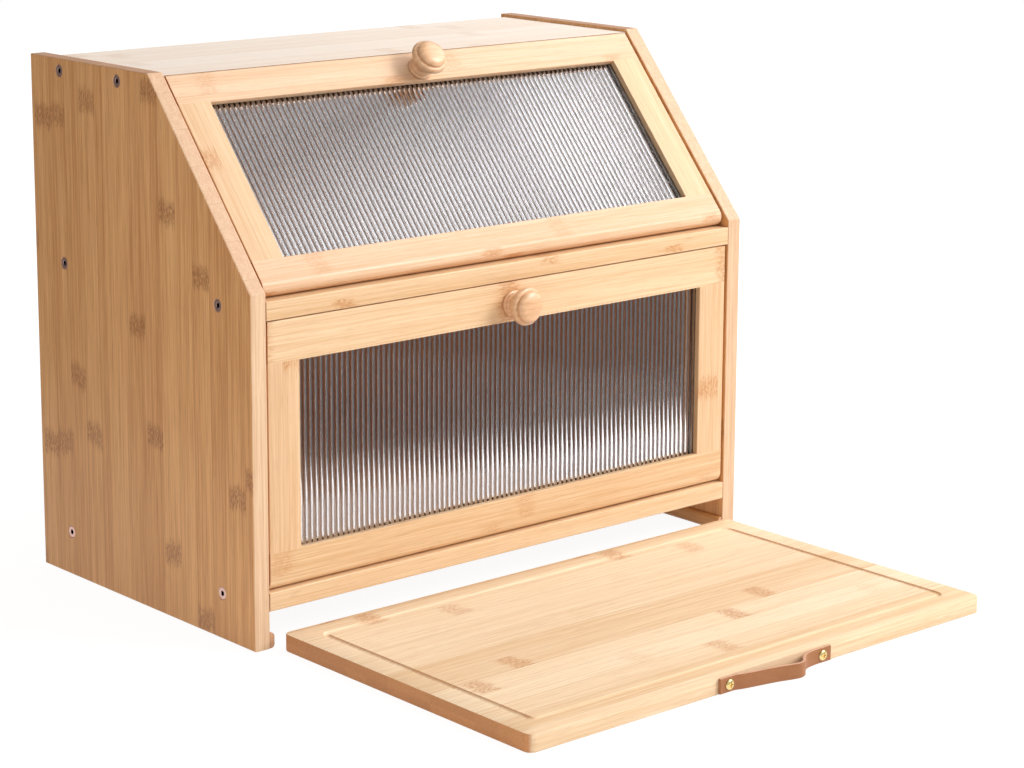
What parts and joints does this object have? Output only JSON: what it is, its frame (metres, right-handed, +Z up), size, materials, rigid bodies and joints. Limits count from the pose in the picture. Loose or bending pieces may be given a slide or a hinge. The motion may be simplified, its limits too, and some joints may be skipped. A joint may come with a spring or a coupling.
{
  "type": "two-tier bread box",
  "caption": "Bamboo bread box with drop-open fluted-window doors under a sloping front, a middle shelf and a cutting board with a leather pull that slides underneath.",
  "frame": {"origin": "on the table, under the middle of the box and its drawn-out cutting board taken together", "axes": "+Z up, -Y towards the front where the doors open, +X to the right as seen from the front"},
  "size_m": [0.4, 0.4714, 0.3389],
  "materials": {
    "bamboo": "bamboo strips glued edge to edge, clear satin lacquer",
    "knob_wood": "turned wood, clear gloss lacquer",
    "acrylic": "clear fluted acrylic sheet",
    "leather": "smooth vegetable-tanned leather with plain cut edges",
    "brass": "bright",
    "steel": "plated, satin",
    "magnet": "nickel-plated"
  },
  "bodies": {
    "case": {"side_panel_left": "bamboo", "side_panel_right": "bamboo", "top_board": "bamboo", "middle_shelf": "bamboo", "bottom_board": "bamboo", "back_panel": "bamboo", "guide_strip_left": "bamboo", "guide_strip_right": "bamboo", "lower_door_stop": "bamboo", "side_screw_left_top_front": "steel", "side_screw_left_top_back": "steel", "side_screw_left_shelf_front": "steel", "side_screw_left_shelf_back": "steel", "side_screw_left_bottom_front": "steel", "side_screw_left_bottom_back": "steel", "side_screw_right_top_front": "steel", "side_screw_right_top_back": "steel", "side_screw_right_shelf_front": "steel", "side_screw_right_shelf_back": "steel", "side_screw_right_bottom_front": "steel", "side_screw_right_bottom_back": "steel", "upper_catch_magnet_left": "magnet", "upper_catch_magnet_right": "magnet", "lower_catch_magnet_left": "magnet", "lower_catch_magnet_right": "magnet"},
    "upper_door": {"upper_door_bottom_rail": "bamboo", "upper_door_top_rail": "bamboo", "upper_door_stile_left": "bamboo", "upper_door_stile_right": "bamboo", "upper_door_pane": "acrylic", "upper_door_bead_bottom": "bamboo", "upper_door_bead_top": "bamboo", "upper_door_bead_left": "bamboo", "upper_door_bead_right": "bamboo", "upper_door_knob": "knob_wood", "upper_door_knob_screw": "steel", "upper_door_hinge_pin_left": "steel", "upper_door_hinge_pin_right": "steel", "upper_door_strike_left": "steel", "upper_door_strike_right": "steel"},
    "lower_door": {"lower_door_bottom_rail": "bamboo", "lower_door_top_rail": "bamboo", "lower_door_stile_left": "bamboo", "lower_door_stile_right": "bamboo", "lower_door_pane": "acrylic", "lower_door_bead_bottom": "bamboo", "lower_door_bead_top": "bamboo", "lower_door_bead_left": "bamboo", "lower_door_bead_right": "bamboo", "lower_door_knob": "knob_wood", "lower_door_knob_screw": "steel", "lower_door_hinge_pin_left": "steel", "lower_door_hinge_pin_right": "steel", "lower_door_strike_left": "steel", "lower_door_strike_right": "steel"},
    "board": {"cutting_board": "bamboo", "strap_handle": "leather", "strap_screw_left": "brass", "strap_screw_right": "brass"}
  },
  "joints": [
    {"name": "upper_door_hinge", "type": "hinge", "parent": "case", "child": "upper_door", "pos_m": [0, 0.0145, 0.2154], "axis": [1, 0, 0], "range_deg": [0, 130.5]},
    {"name": "lower_door_hinge", "type": "hinge", "parent": "case", "child": "lower_door", "pos_m": [0, 0.01076, 0.0405], "axis": [1, 0, 0], "range_deg": [0, 90]},
    {"name": "cutting_board_slide", "type": "slide", "parent": "case", "child": "board", "axis": [0, 1, 0], "range_m": [0, 0.227]}
  ]
}
